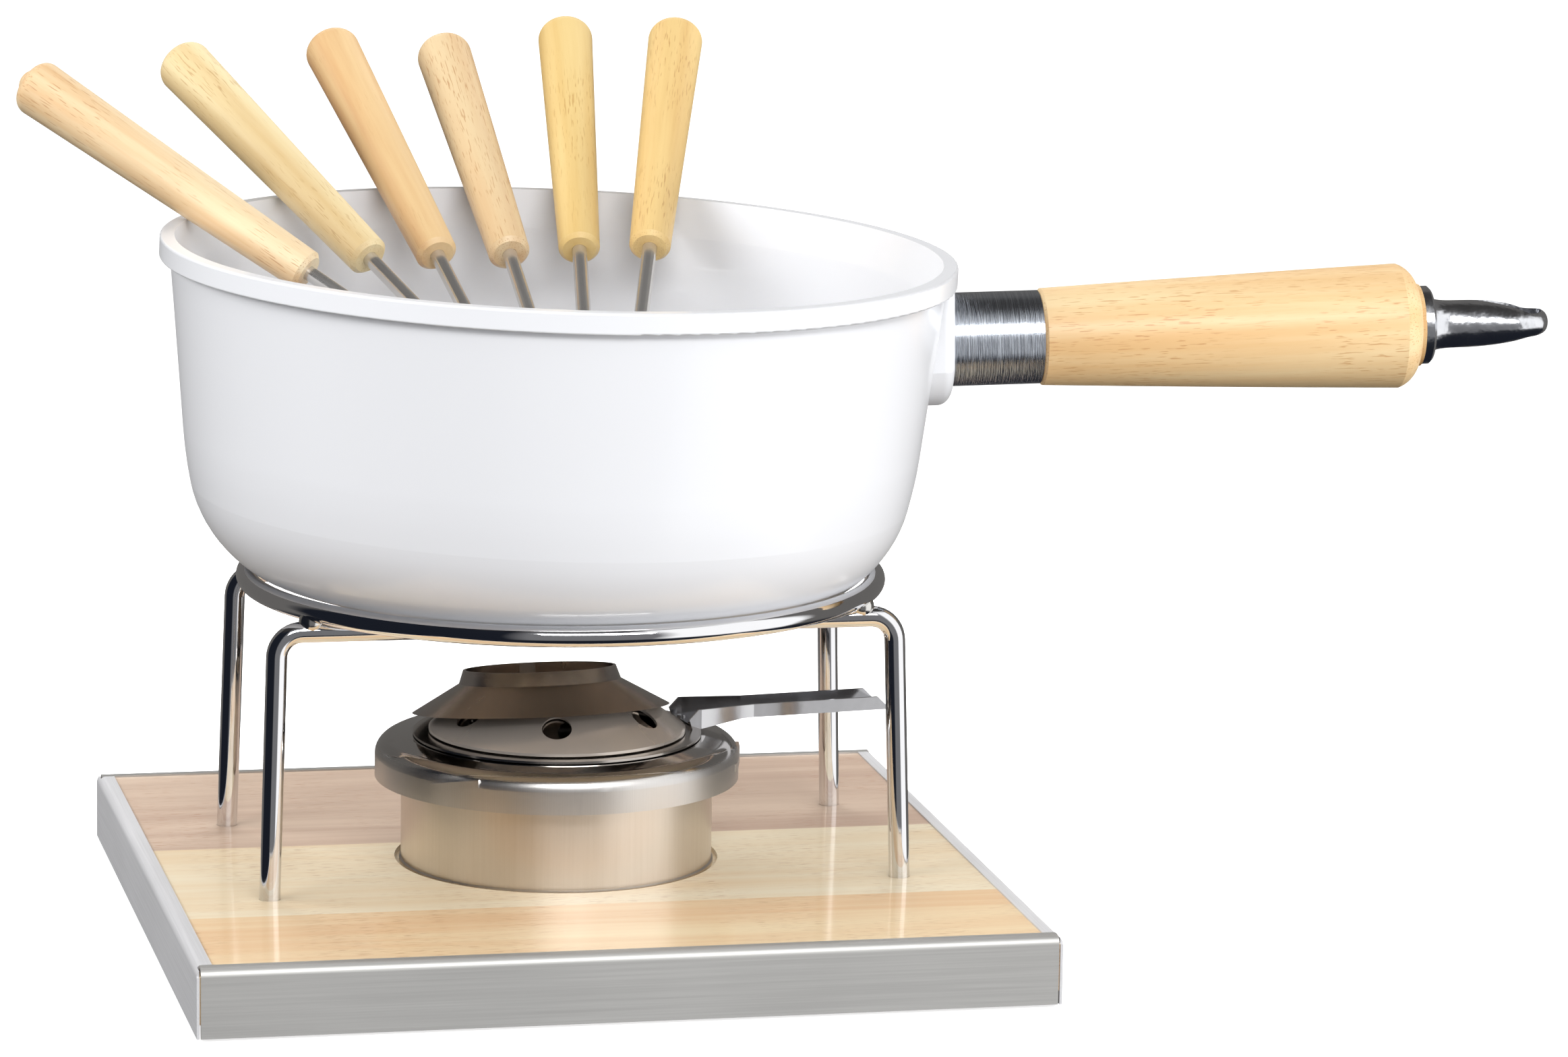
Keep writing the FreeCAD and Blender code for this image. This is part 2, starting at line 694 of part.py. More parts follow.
# ---- forks -------------------------------------------------------------------------------------------
def fork_elevation(x, y, z, turn):
    """Angle at which the grip's underside just clears the rim's inner edge."""
    ca, sa = math.cos(rad(turn)), math.sin(rad(turn))
    edge = rim_radius - rim_face_width
    along = -(x * ca + y * sa) + math.sqrt(edge ** 2 - (x * sa - y * ca) ** 2)
    angle = rad(30.0)
    for _ in range(30):
        reach = along / math.cos(angle) - fork_rod_free
        share = reach / fork_grip_length
        radius = (fork_grip_narrow + (fork_grip_wide - fork_grip_narrow) * share) / 2 + fork_seat
        angle = math.atan2(-z + radius / math.cos(angle), along)
    return math.degrees(angle)


def fork_matrix(place):
    """From a fork's own frame, +X from its points to its grip, to the pan's frame."""
    x, y, lift, turn = place
    z = -pan_height + floor_thickness + prong_diameter / 2 + lift
    turn_r = Rotation(Vector(0, 0, 1), turn)
    rise_r = Rotation(Vector(0, 1, 0), -fork_elevation(x, y, z, turn))
    return Placement(Vector(x, y, z), turn_r.multiply(rise_r)).toMatrix()


def fork_grip():
    z0 = fork_rod_free
    z1 = fork_rod_free + fork_grip_length
    n, w = fork_grip_narrow / 2, fork_grip_wide / 2
    bore = fork_rod_diameter / 2 + fork_rod_fit
    deep = z0 + fork_rod_in_grip
    k = fork_grip_round * (1 - math.sqrt(0.5))
    shoulder_start = Vector(w, 0, z1 - fork_grip_crown - fork_grip_round)
    shoulder_end = Vector(w - fork_grip_round, 0, z1 - fork_grip_crown)
    pts = [Vector(0, 0, deep), Vector(bore, 0, deep), Vector(bore, 0, z0),
           Vector(n - fork_grip_chamfer, 0, z0),
           Vector(n, 0, z0 + fork_grip_chamfer), shoulder_start]
    edges = [Part.LineSegment(a, b).toShape() for a, b in zip(pts, pts[1:])]
    shoulder = Vector(w - k, 0, z1 - fork_grip_crown - k)
    edges.append(Part.Arc(shoulder_start, shoulder, shoulder_end).toShape())
    flat = Vector(fork_grip_flat / 2, 0, z1)
    crown = Vector((shoulder_end.x + flat.x) / 2, 0, z1 - fork_grip_crown * 0.30)
    edges.append(Part.Arc(shoulder_end, crown, flat).toShape())
    edges.append(Part.LineSegment(flat, Vector(0, 0, z1)).toShape())
    edges.append(Part.LineSegment(Vector(0, 0, z1), pts[0]).toShape())
    return along_x(turned(edges), Vector(0, 0, 0))


def fork_rod():
    r = fork_rod_diameter / 2
    n = fork_neck_diameter / 2
    end = fork_rod_free + fork_rod_in_grip - 0.3
    blade0 = fork_head_length - fork_blade_length - 1.0
    blade1 = blade0 + fork_blade_length
    rod = along_x(lathe([(0, blade1 - 1), (n, blade1 - 1), (n, fork_head_length), (r, fork_head_length + 6),
                         (r, end), (0, end)]), Vector(0, 0, 0))
    w, t = fork_blade_width / 2, fork_blade_thickness / 2
    plan = [Vector(blade0, -w, -t), Vector(blade0, w, -t), Vector(blade0 + 2.0, w, -t),
            Vector(blade1 + 2, n, -t),
            Vector(blade1 + 2, -n, -t), Vector(blade0 + 2.0, -w, -t)]
    blade = Part.Face(Part.makePolygon(plan + plan[:1])).extrude(Vector(0, 0, 2 * t))
    head = rod.fuse(blade)
    p = prong_diameter / 2
    for i in (-1, 0, 1):
        prong = lathe([(0, 0), (0.25, 0), (p, prong_point), (p, blade0 + 1.5), (0, blade0 + 1.5)])
        head = head.fuse(along_x(prong, Vector(0, i * prong_pitch, 0)))
    return head.removeSplitter()


def forks():
    grip_shape = fork_grip()
    rod_shape = fork_rod()
    for number, place in enumerate(fork_places, 1):
        matrix = fork_matrix(place)
        save("fork_%d_grip" % number, placed(placed(grip_shape, matrix), pan_matrix()))
        save("fork_%d_rod" % number, placed(placed(rod_shape, matrix), pan_matrix()))


# ---- burner ------------------------------------------------------------------------------------------
def at_burner(solid):
    out = solid.copy()
    out.translate(Vector(burner_x, burner_y, 0))
    return out


def sector(r0, r1, z0, z1, start, sweep):
    """Part of a ring, from a start angle over a sweep, both in degrees."""
    solid = lathe([(r0, z0), (r1, z0), (r1, z1), (r0, z1)])
    reach = 2 * r1
    a, b = rad(start), rad(start + sweep)
    wedge = Part.makePolygon([Vector(0, 0, z0 - 1), Vector(reach * math.cos(a), reach * math.sin(a), z0 - 1),
                              Vector(reach * math.cos(b), reach * math.sin(b), z0 - 1), Vector(0, 0, z0 - 1)])
    return solid.common(Part.Face(wedge).extrude(Vector(0, 0, z1 - z0 + 2)))


def burner_cup():
    r = cup_diameter / 2
    b = bead_diameter / 2
    z = cup_foot
    lug_end = lug_lead + lug_width / 2
    flange_z = lid_low + ramp_low + ramp_height + ramp_rise * lug_end / ramp_sweep + lug_gap
    f = cup_flange_diameter / 2
    inside = r - cup_wall
    cup = lathe([(0, z + bead_height - cup_floor), (inside - 1.5, z + bead_height - cup_floor),
                 (inside - 1.5, z), (b - 0.4, z), (b, z + 0.4), (b, z + bead_height - 0.4),
                 (b - 0.4, z + bead_height), (r, z + bead_height), (r, flange_z), (f, flange_z),
                 (f, flange_z + cup_wall), (r, flange_z + cup_wall), (r, cup_mouth),
                 (inside, cup_mouth), (inside, z + bead_height), (0, z + bead_height)])
    for turn in ring_of(ramp_count, ramp_start + lug_lead):
        lug = sector(f - 1.0, f + lug_reach, flange_z, flange_z + cup_wall, turn - lug_width / 2, lug_width)
        cup = cup.fuse(lug)
    save("burner_cup", at_burner(cup.removeSplitter()))
    pad_r = inside - 0.3
    pad = cylinder(pad_r, z + bead_height, z + bead_height + wadding_height)
    save("fuel_wadding", at_burner(pad))
    gauze_z = z + bead_height + wadding_height
    save("wick_gauze", at_burner(cylinder(gauze_diameter / 2, gauze_z, gauze_z + gauze_thickness)))


def lid_ramps():
    """Bayonet ramps pressed into the skirt: slanting bumps, proud outside and in."""
    r = lid_diameter / 2
    ramps = []
    for turn in ring_of(ramp_count, ramp_start):
        z0 = lid_low + ramp_low
        z1 = z0 + ramp_height + ramp_rise
        band = sector(r - lid_sheet - ramp_in, r + ramp_out, z0, z1, turn, ramp_sweep)
        a0, a1 = rad(turn), rad(turn + ramp_sweep)
        run = r * (a1 - a0)
        slope = math.degrees(math.atan2(ramp_rise, run))
        middle = rad(turn + ramp_sweep / 2)
        slab = box(-run, run, -20, 20, -ramp_height / 2, ramp_height / 2)
        turn_z = Rotation(Vector(0, 0, 1), math.degrees(middle) + 90)
        tilt = Rotation(Vector(0, 1, 0), -slope)
        centre = Vector(r * math.cos(middle), r * math.sin(middle), z0 + (ramp_height + ramp_rise) / 2)
        slab.transformShape(Placement(centre, turn_z.multiply(tilt)).toMatrix())
        ramps.append(band.common(slab))
    return ramps


def burner_lid():
    r = lid_diameter / 2
    t = lid_sheet
    s = lid_shoulder_radius
    k = math.sqrt(0.5)
    step = lid_step_diameter / 2
    up = lid_step_height
    tr = throat_diameter / 2
    throat_top = step_top + throat_height
    top = lid_top
    p = [Vector(r, 0, lid_low), Vector(r, 0, top - s), Vector(r - s * (1 - k), 0, top - s * (1 - k)),
         Vector(r - s, 0, top), Vector(step, 0, top + up), Vector(tr, 0, top + up),
         Vector(tr, 0, throat_top), Vector(tr - t, 0, throat_top), Vector(tr - t, 0, top + up - t),
         Vector(step, 0, top + up - t), Vector(r - s, 0, top - t),
         Vector(r - s + (s - t) * k, 0, top - s + (s - t) * k), Vector(r - t, 0, top - s),
         Vector(r - t, 0, lid_low)]
    arcs = {1: 2, 10: 11}
    edges = []
    i = 0
    while i < len(p):
        if i in arcs:
            edges.append(Part.Arc(p[i], p[i + 1], p[i + 2]).toShape())
            i += 2
        else:
            edges.append(Part.LineSegment(p[i], p[(i + 1) % len(p)]).toShape())
            i += 1
    lid = turned(edges)
    for turn in ring_of(vent_count, 0.0):
        x, y = vent_ring_radius * math.cos(rad(turn)), vent_ring_radius * math.sin(rad(turn))
        lid = lid.cut(cylinder(vent_diameter / 2, top - 2, step_top + 2, x, y))
    for ramp in lid_ramps():
        lid = lid.fuse(ramp)
    save("burner_lid", at_burner(lid.removeSplitter()))


def dome_surface(low, rim_r, flat_r):
    """Height of the sheet's outside at the flat top."""
    return low + (rim_r - flat_r) * math.tan(rad(dome_slope))


def dome_profile(low, rim_r, flat_r, bore_r, sheet):
    """A cone-shaped cover with a flat top and a bore, as (r, z) points."""
    drop = sheet / math.cos(rad(dome_slope))
    high = dome_surface(low, rim_r, flat_r) + drop
    inset = sheet * math.tan(rad(dome_slope / 2))
    return [(rim_r, low), (rim_r, low + drop), (flat_r, high), (bore_r, high), (bore_r, high - sheet),
            (flat_r - inset, high - sheet)]


def air_drill(radius, low, rim_r, turn):
    """A drill square to the cone's slope at the air holes' radius."""
    z = low + (rim_r - radius) * math.tan(rad(dome_slope))
    x, y = radius * math.cos(rad(turn)), radius * math.sin(rad(turn))
    out = math.sin(rad(dome_slope))
    lean = Vector(out * math.cos(rad(turn)), out * math.sin(rad(turn)), math.cos(rad(dome_slope)))
    return Part.makeCylinder(air_hole_diameter / 2, 8, Vector(x, y, z) - lean * 4, lean)


def air_dome():
    rim_r = dome_diameter / 2
    bore = throat_diameter / 2 + 0.02
    dome = lathe(dome_profile(dome_low, rim_r, dome_flat_diameter / 2, bore, dome_sheet))
    for turn in ring_of(air_hole_count, air_hole_turn):
        dome = dome.cut(air_drill(air_hole_radius, dome_low, rim_r, turn))
    save("air_dome", at_burner(dome))


def regulator():
    """Flanged disc and inner cone that turn round the throat under the air dome."""
    sheet = regulator_sheet
    gap = dome_rim_gap
    slope = math.tan(rad(dome_slope))
    corner = math.tan(rad(dome_slope / 2))
    low = regulator_low
    out = regulator_diameter / 2
    bore = throat_diameter / 2 + regulator_bore
    # the cone's outside lies one gap inside the dome's sheet
    foot_r = dome_diameter / 2 - gap * corner
    flat_r = dome_flat_diameter / 2 - (dome_sheet + gap) * corner
    high = low + sheet + (foot_r - flat_r) * slope
    points = [(foot_r - sheet * corner, low), (out, low), (out, low + sheet), (foot_r, low + sheet),
              (flat_r, high), (bore, high), (bore, high - sheet), (flat_r - sheet * corner, high - sheet)]
    disc = lathe(points)
    for turn in ring_of(air_hole_count, air_hole_turn + regulator_offset):
        disc = disc.cut(air_drill(air_hole_radius, low, foot_r, turn))
    for x, y in lever_rivets_at():
        disc = disc.cut(cylinder(lever_rivet_diameter / 2 + screw_fit, low - 1, low + 4, x, y))
    save("regulator_disc", at_burner(disc))


def lever_frame(solid):
    out = solid.copy()
    out.rotate(Vector(0, 0, 0), Vector(0, 0, 1), lever_turn)
    return out


def lever_rivets_at():
    x = (lever_root + lever_foot_end) / 2
    out = []
    for sign in (-1, 1):
        v = Rotation(Vector(0, 0, 1), lever_turn).multVec(Vector(x, sign * lever_rivet_pitch / 2, 0))
        out.append((v.x, v.y))
    return out


def lever():
    """Sheet channel, open upwards, on a flat foot riveted to the regulator."""
    z0 = regulator_top
    t = lever_sheet
    lift = lever_lift
    w = lever_width / 2
    side = [(lever_root, z0), (lever_foot_end, z0), (lever_bend_end, z0 + lift), (lever_reach, z0 + lift),
            (lever_reach, z0 + lift + t), (lever_bend_end, z0 + lift + t), (lever_foot_end, z0 + t),
            (lever_root, z0 + t)]
    pts = [Vector(x, -w - 4, z) for x, z in side]
    floor = Part.Face(Part.makePolygon(pts + pts[:1])).extrude(Vector(0, lever_width + 8, 0))
    rw = lever_root_width / 2
    root = lever_root - lever_ear
    plan = [Vector(root, -rw, 0), Vector(lever_foot_end, -rw, 0), Vector(lever_bend_end + 4, -w, 0),
            Vector(lever_reach, -w, 0), Vector(lever_reach, w, 0), Vector(lever_bend_end + 4, w, 0),
            Vector(lever_foot_end, rw, 0), Vector(root, rw, 0)]
    tall = Part.Face(Part.makePolygon(plan + plan[:1])).extrude(Vector(0, 0, 2 * z0))
    floor = floor.common(tall)
    flange_top = z0 + lift + lever_flange
    wall_side = [(lever_root, z0), (lever_foot_end, z0), (lever_bend_end, z0 + lift),
                 (lever_reach, z0 + lift),
                 (lever_reach, flange_top - lever_tip_chamfer),
                 (lever_reach - lever_tip_chamfer, flange_top), (root + lever_tip_chamfer, flange_top),
                 (root, flange_top - lever_tip_chamfer)]
    pts = [Vector(x, -w - 6, z) for x, z in wall_side]
    walls = Part.Face(Part.makePolygon(pts + pts[:1])).extrude(Vector(0, lever_width + 12, 0))
    inner_plan = [Vector(root - 1, -rw + t, 0), Vector(lever_foot_end, -rw + t, 0),
                  Vector(lever_bend_end + 4, -w + t, 0), Vector(lever_reach + 1, -w + t, 0),
                  Vector(lever_reach + 1, w - t, 0), Vector(lever_bend_end + 4, w - t, 0),
                  Vector(lever_foot_end, rw - t, 0), Vector(root - 1, rw - t, 0)]
    hollow = Part.Face(Part.makePolygon(inner_plan + inner_plan[:1])).extrude(Vector(0, 0, 2 * z0))
    walls = walls.common(tall).cut(hollow)
    solid = floor.fuse(walls).removeSplitter()
    solid = lever_frame(solid)
    for x, y in lever_rivets_at():
        solid = solid.cut(cylinder(lever_rivet_diameter / 2 + screw_fit, z0 - 1, z0 + 3, x, y))
    save("regulator_lever", at_burner(solid))
    rivets = []
    for x, y in lever_rivets_at():
        shank = cylinder(lever_rivet_diameter / 2, regulator_low, z0 + t, x, y)
        head_r = lever_rivet_diameter / 2 + lever_rivet_head
        head = cylinder(head_r, z0 + t, z0 + t + lever_rivet_head, x, y)
        rivets.append(at_burner(shank.fuse(head).removeSplitter()))
    save("lever_rivets", *rivets)


def cone_matrix():
    centre = Vector(burner_x + cone_offset_x, burner_y + cone_offset_y, cup_foot + cone_height)
    back = Rotation(Vector(1, 0, 0), -cone_lean)
    left = Rotation(Vector(0, 1, 0), -cone_side_lean)
    return Placement(centre, left.multiply(back)).toMatrix()


def cone_points(inset):
    """Outer profile of the flame cone, moved in by inset."""
    a = cone_lower_diameter / 2
    b = cone_shoulder_diameter / 2
    c = cone_upper_diameter / 2
    slope = math.atan2(cone_shoulder_height, a - b)
    shift = inset / math.sin(slope)
    drop = inset * math.tan(slope / 2)
    return [(a - shift, 0.0), (b - inset, cone_shoulder_height - drop), (c - inset, cone_full_height)]


def flame_cone():
    outer = cone_points(0.0)
    inner = cone_points(cone_sheet)
    shell = lathe(outer + inner[::-1])
    save("flame_cone", placed(shell, cone_matrix()))
    # three short stays carry the cone on the dome
    inner_a, inner_b, inner_c = inner
    room = placed(lathe([(0, -cone_height), (inner_a[0], -cone_height), inner_a, inner_b, inner_c,
                         (0, cone_full_height)]), cone_matrix())
    rim_r = dome_diameter / 2
    drop = dome_sheet / math.cos(rad(dome_slope))
    high = dome_surface(dome_low, rim_r, dome_flat_diameter / 2) + drop
    under = at_burner(lathe([(0, 0), (rim_r, 0), (rim_r, dome_low + drop), (dome_flat_diameter / 2, high),
                             (0, high)]))
    stays = []
    for turn in stay_turns:
        stay = box(stay_radius, stay_radius + stay_thickness, -stay_width / 2, stay_width / 2, 0,
                   2 * cone_height)
        stay.rotate(Vector(0, 0, 0), Vector(0, 0, 1), turn)
        stay.translate(Vector(burner_x + cone_offset_x, burner_y + cone_offset_y, 0))
        stays.append(stay.common(room).cut(under))
    save("cone_stays", *[s for stay in stays for s in stay.Solids])


def main():
    os.makedirs("parts", exist_ok=True)
    frame()
    board()
    feet()
    stand()
    leg_screws()
    pan()
    collar()
    grip()
    end_cap()
    tie_rod()
    forks()
    burner_cup()
    burner_lid()
    air_dome()
    regulator()
    lever()
    flame_cone()
    for name, shape in parts.items():
        shape.exportStep("parts/%s.step" % name)
        facts = (name, len(shape.Solids), shape.isValid(), shape.Volume)
        print("%-18s solids %d  valid %s  volume %.0f" % facts)


main()
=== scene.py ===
"""Fondue set: white coated pan with six forks, on a wire stand over a burner, on a framed wooden base."""
import bpy
import json
import math
from mathutils import Matrix, Vector


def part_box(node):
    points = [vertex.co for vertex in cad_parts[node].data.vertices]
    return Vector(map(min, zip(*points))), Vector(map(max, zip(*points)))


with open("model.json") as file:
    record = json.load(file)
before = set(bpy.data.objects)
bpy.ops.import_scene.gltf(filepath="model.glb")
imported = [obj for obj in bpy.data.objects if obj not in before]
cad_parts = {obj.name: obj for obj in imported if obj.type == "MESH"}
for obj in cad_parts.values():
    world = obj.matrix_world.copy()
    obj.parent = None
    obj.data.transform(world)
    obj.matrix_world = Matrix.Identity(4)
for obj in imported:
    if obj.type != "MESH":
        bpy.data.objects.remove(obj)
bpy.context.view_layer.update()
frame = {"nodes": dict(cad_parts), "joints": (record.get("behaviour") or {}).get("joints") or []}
nodes = frame["nodes"]

# ---- Base board -------------------------------------------------------------------------------------
# Rubberwood staves glued side by side, their grain along the front edge, sanded flat and finished
# with a thick clear lacquer. The burner's seat is a shallow turned recess in the middle.


def paint(red, green, blue):
    """A colour as mixed on a screen, 0 to 255, for the shader."""
    def one(value):
        value /= 255
        return value / 12.92 if value <= 0.04045 else ((value + 0.055) / 1.055) ** 2.4
    return (one(red), one(green), one(blue), 1.0)


class Strand:
    """One output of a shader node. Arithmetic on numbers adds Math nodes."""

    def __init__(self, tree, socket=None):
        self.tree = tree
        self.socket = socket

    def node(self, kind, settings=None, sockets=None, out=0):
        """Any other node: its settings first, then the values or strands of its sockets."""
        made = self.tree.nodes.new(kind)
        for name, value in (settings or {}).items():
            if name == "stops":
                for spare in range(len(value) - 2):
                    made.color_ramp.elements.new(0.5)
                for stop, (place, colour) in zip(made.color_ramp.elements, value):
                    stop.position = place
                    stop.color = colour
            else:
                setattr(made, name, value)
        for name, value in (sockets or {}).items():
            if isinstance(value, Strand):
                self.tree.links.new(value.socket, made.inputs[name])
            else:
                made.inputs[name].default_value = value
        return Strand(self.tree, made.outputs[out])

    def maths(self, operation, other=0.0):
        return self.node("ShaderNodeMath", {"operation": operation}, {0: self, 1: other})

    def __add__(self, other):
        return self.maths("ADD", other)

    def __sub__(self, other):
        return self.maths("SUBTRACT", other)

    def __rsub__(self, other):
        return self.node("ShaderNodeMath", {"operation": "SUBTRACT"}, {0: other, 1: self})

    def __mul__(self, other):
        return self.maths("MULTIPLY", other)

    def __truediv__(self, other):
        return self.maths("DIVIDE", other)

    __radd__ = __add__
    __rmul__ = __mul__

    def step(self, low, high):
        """0 below low and 1 above high, smooth between."""
        return self.node("ShaderNodeMapRange", {"interpolation_type": "SMOOTHSTEP"},
                         {"Value": self, "From Min": low, "From Max": high})

    def blend(self, first, second):
        """The two colours mixed by this strand."""
        return self.node("ShaderNodeMix", {"data_type": "RGBA"}, {0: self, 6: first, 7: second}, 2)

    def placed(self, move=(0, 0, 0), turn=(0, 0, 0), scale=(1, 1, 1)):
        """This vector moved, turned and scaled into a piece's own directions."""
        return self.node("ShaderNodeMapping", {"vector_type": "TEXTURE"},
                         {"Vector": self, "Location": move, "Rotation": turn, "Scale": scale})

    def noise(self, scale, detail=2.0, rough=0.5, out="Fac"):
        return self.node("ShaderNodeTexNoise", {}, {"Vector": self, "Scale": scale, "Detail": detail,
                                                    "Roughness": rough}, out)

    def axis(self, name):
        return self.node("ShaderNodeSeparateXYZ", {}, {0: self}, name)

    def bump(self, depth, strength=1.0):
        return self.node("ShaderNodeBump", {}, {"Height": self, "Distance": depth, "Strength": strength})


class Finish:
    """A material with one Principled shader: constant sockets by value, varying ones by strand."""

    def __init__(self, name, **fixed):
        self.material = bpy.data.materials.new(name)
        self.material.use_nodes = True
        tree = self.material.node_tree
        self.shader = tree.nodes["Principled BSDF"]
        self.place = Strand(tree).node("ShaderNodeTexCoord", out="Object")
        for socket, value in fixed.items():
            self.shader.inputs[socket.replace("_", " ")].default_value = value

    def vary(self, **strands):
        """Links strands to the shader's sockets."""
        for socket, strand in strands.items():
            strand.tree.links.new(strand.socket, self.shader.inputs[socket.replace("_", " ")])
        return self

    def on(self, *names):
        """Puts the finish on CAD nodes in place of the plain one."""
        for name in names:
            mesh = nodes[name].data
            mesh.materials.clear()
            mesh.materials.append(self.material)
        return self


fibre = (0.16, 0.006, 0.006)          # length along the grain, then the two widths
growth_band = (0.30, 0.022, 0.022)
open_pore = (0.0055, 0.00042, 0.00042)
fibre_wander = 0.006


def wood_grain(place, pale, dark, pore):
    """Colour of straight-grained rubberwood and the mask of its pores; the grain runs along X."""
    wander = place.noise(9.0, 3.0, 0.5, "Color")
    wandering = place.node("ShaderNodeVectorMath", {"operation": "MULTIPLY_ADD"},
                           {0: wander, 1: (0.0, fibre_wander, fibre_wander), 2: place})
    fibres = wandering.placed(scale=fibre).noise(1.0, 4.0, 0.6)
    bands = wandering.placed(scale=growth_band).noise(1.0, 2.0, 0.5)
    dashes = place.placed(scale=open_pore).noise(1.0, 1.0, 0.4)
    porous_patch = place.noise(26.0, 2.0, 0.5)
    pores = dashes.step(0.60, 0.70) * porous_patch.step(0.36, 0.62)
    tone = (fibres * 0.55 + bands * 0.75).step(0.42, 0.88)
    return (pores * 0.62).blend(tone.blend(pale, dark), pore), pores


front_seam = -0.066
back_seam = 0.020
seam_half_width = 0.0004
front_stave = (paint(242, 220, 180), paint(230, 190, 146))
middle_stave = (paint(240, 228, 200), paint(232, 206, 168))
back_stave = (paint(222, 198, 176), paint(196, 168, 148))
stave_pore = paint(168, 112, 74)
log_step = 0.11

lacquered = Finish("lacquered_board", Roughness=0.42, Coat_Weight=0.85, Coat_Roughness=0.09)
across = lacquered.place.axis("Y")
stave_colours = []
for pale, dark in (front_stave, middle_stave, back_stave):
    # Each stave comes from another place in the log.
    log_place = (pale[0], log_step * len(stave_colours), 0.0)
    stave_colours.append(wood_grain(lacquered.place.placed(log_place), pale, dark, stave_pore)[0])
past_front = across.step(front_seam - seam_half_width, front_seam + seam_half_width)
past_middle = across.step(back_seam - seam_half_width, back_seam + seam_half_width)
board_colour = past_middle.blend(past_front.blend(stave_colours[0], stave_colours[1]), stave_colours[2])
lacquer_ripple = lacquered.place.placed(scale=(0.05, 0.0016, 0.004)).noise(1.0, 3.0, 0.6)
lacquered.vary(Base_Color=board_colour, Normal=lacquer_ripple.bump(0.00006, 0.35)).on("board")

# ---- Frame of the base ------------------------------------------------------------------------------
# Four strips of 0.8 mm stainless sheet, brushed along their length, folded over the board's top edge
# and closed at the corners with open butt joints.


def brushed_steel(name, tone, stretch, depth=0.00002, rough=0.50, metallic=0.72):
    """Stainless sheet with fine straight scratches; stretch is the scratch's size along X, Y and Z."""
    sheet = Finish(name, Metallic=metallic)
    scratch = sheet.place.placed(scale=stretch).noise(1.0, 3.0, 0.62)
    cloud = sheet.place.noise(14.0, 2.0, 0.5)
    low = tuple(c * 0.86 for c in tone[:3]) + (1.0,)
    sheet.vary(Base_Color=(scratch * 0.6 + cloud * 0.4).step(0.3, 0.7).blend(low, tone),
               Roughness=scratch * 0.12 + (rough - 0.06), Normal=scratch.bump(depth, 0.5))
    return sheet


scratch_length = 0.060
scratch_width = 0.0005
brushed_steel("strip_steel_x", paint(206, 205, 202), (scratch_length, scratch_width, scratch_width)).on(
    "frame_front", "frame_back")
# The side strips are the same sheet as the front and back strips, but they get a lighter tone and less metal:
# painted light on the sides.
brushed_steel("strip_steel_y_painted_lighter", paint(224, 224, 226), (scratch_width, scratch_length, scratch_width),
              metallic=0.40).on("frame_left", "frame_right")

# ---- Feet, screws and washers -----------------------------------------------------------------------
# Black rubber feet are pressed into shallow seats in the board's underside. Zinc-plated screws with
# washers come up through counterbores and draw the stand's legs down into the board.
foot_rubber = Finish("foot_rubber", Roughness=0.82)
foot_grain = foot_rubber.place.noise(900.0, 2.0)
foot_rubber.vary(Base_Color=foot_grain.blend(paint(26, 26, 27), paint(40, 40, 41)),
                 Normal=foot_grain.bump(0.00008, 0.5)).on("rubber_feet")
zinc_grain = (0.002, 0.002, 0.002)
zinc_plate = brushed_steel("zinc_plate", paint(178, 180, 182), zinc_grain, 0.00001, 0.30)
zinc_plate.on("leg_screws", "leg_washers")

# ---- Stand ------------------------------------------------------------------------------------------
# Two bent rods and a ring of the same 6.3 mm wire, resistance welded where the bars cross under the
# ring, then polished and chrome plated as one piece.


def bright_metal(name, tone, rough, haze=0.05, ripple_depth=0.00001, metallic=1.0):
    """Polished metal with a faint haze and ripple."""
    metal = Finish(name, Metallic=metallic)
    haze_map = metal.place.noise(60.0, 3.0, 0.6)
    low = tuple(c * 0.93 for c in tone[:3]) + (1.0,)
    metal.vary(Base_Color=haze_map.blend(low, tone), Roughness=haze_map * haze + rough)
    if ripple_depth:
        metal.vary(Normal=metal.place.noise(180.0, 2.0, 0.5).bump(ripple_depth, 0.4))
    return metal


bright_metal("chrome_plate", paint(226, 226, 228), 0.035).on("front_wire", "back_wire", "support_ring")
bright_metal("weld_plate", paint(214, 212, 208), 0.12, 0.1, 0.0002).on("ring_welds")

# ---- Pan --------------------------------------------------------------------------------------------
# Cast aluminium bowl with a turned-out pouring lip, sprayed inside and out with a white ceramic coat
# that has the faint orange peel of a baked finish.
# Its flat base is left bare and turned, so it sits true on a hob.
pan_rim_centre = Vector((-0.00018, 0.00368, 0.20726))
pan_axis = Vector((0.02927, -0.01556, 0.99945))
pan_height = 0.0994
pan_foot = pan_rim_centre - pan_axis * pan_height
turning_pitch = 5200.0                # radians of turning mark per metre of radius

ceramic = Finish("ceramic_coat")
peel = ceramic.place.noise(420.0, 2.0, 0.5)
bloom = ceramic.place.noise(11.0, 2.0, 0.5)
up_the_pan = ceramic.place.node("ShaderNodeVectorMath", {"operation": "DOT_PRODUCT"},
                                {0: ceramic.place, 1: tuple(pan_axis)}, "Value")
bare = 1.0 - (up_the_pan - pan_foot.dot(pan_axis)).step(0.0001, 0.0003)
flat = ceramic.place.node("ShaderNodeCombineXYZ", {}, {0: ceramic.place.axis("X") - pan_foot.x,
                                                       1: ceramic.place.axis("Y") - pan_foot.y, 2: 0.0})
from_axis = flat.node("ShaderNodeVectorMath", {"operation": "LENGTH"}, {0: flat}, "Value")
turning = (from_axis * turning_pitch).maths("SINE")
coat_colour = bloom.blend(paint(213, 214, 217), paint(217, 218, 221))
bare_colour = turning.step(-1.0, 1.0).blend(paint(188, 184, 178), paint(204, 200, 194))
ceramic.vary(Base_Color=bare.blend(coat_colour, bare_colour), Metallic=bare * 0.4,
             Roughness=bare * 0.10 + 0.30, Coat_Weight=(1.0 - bare) * 0.25,
             Normal=(peel * 0.12 + turning * bare * 0.1).bump(0.00006, 1.0)).on("pan_body")

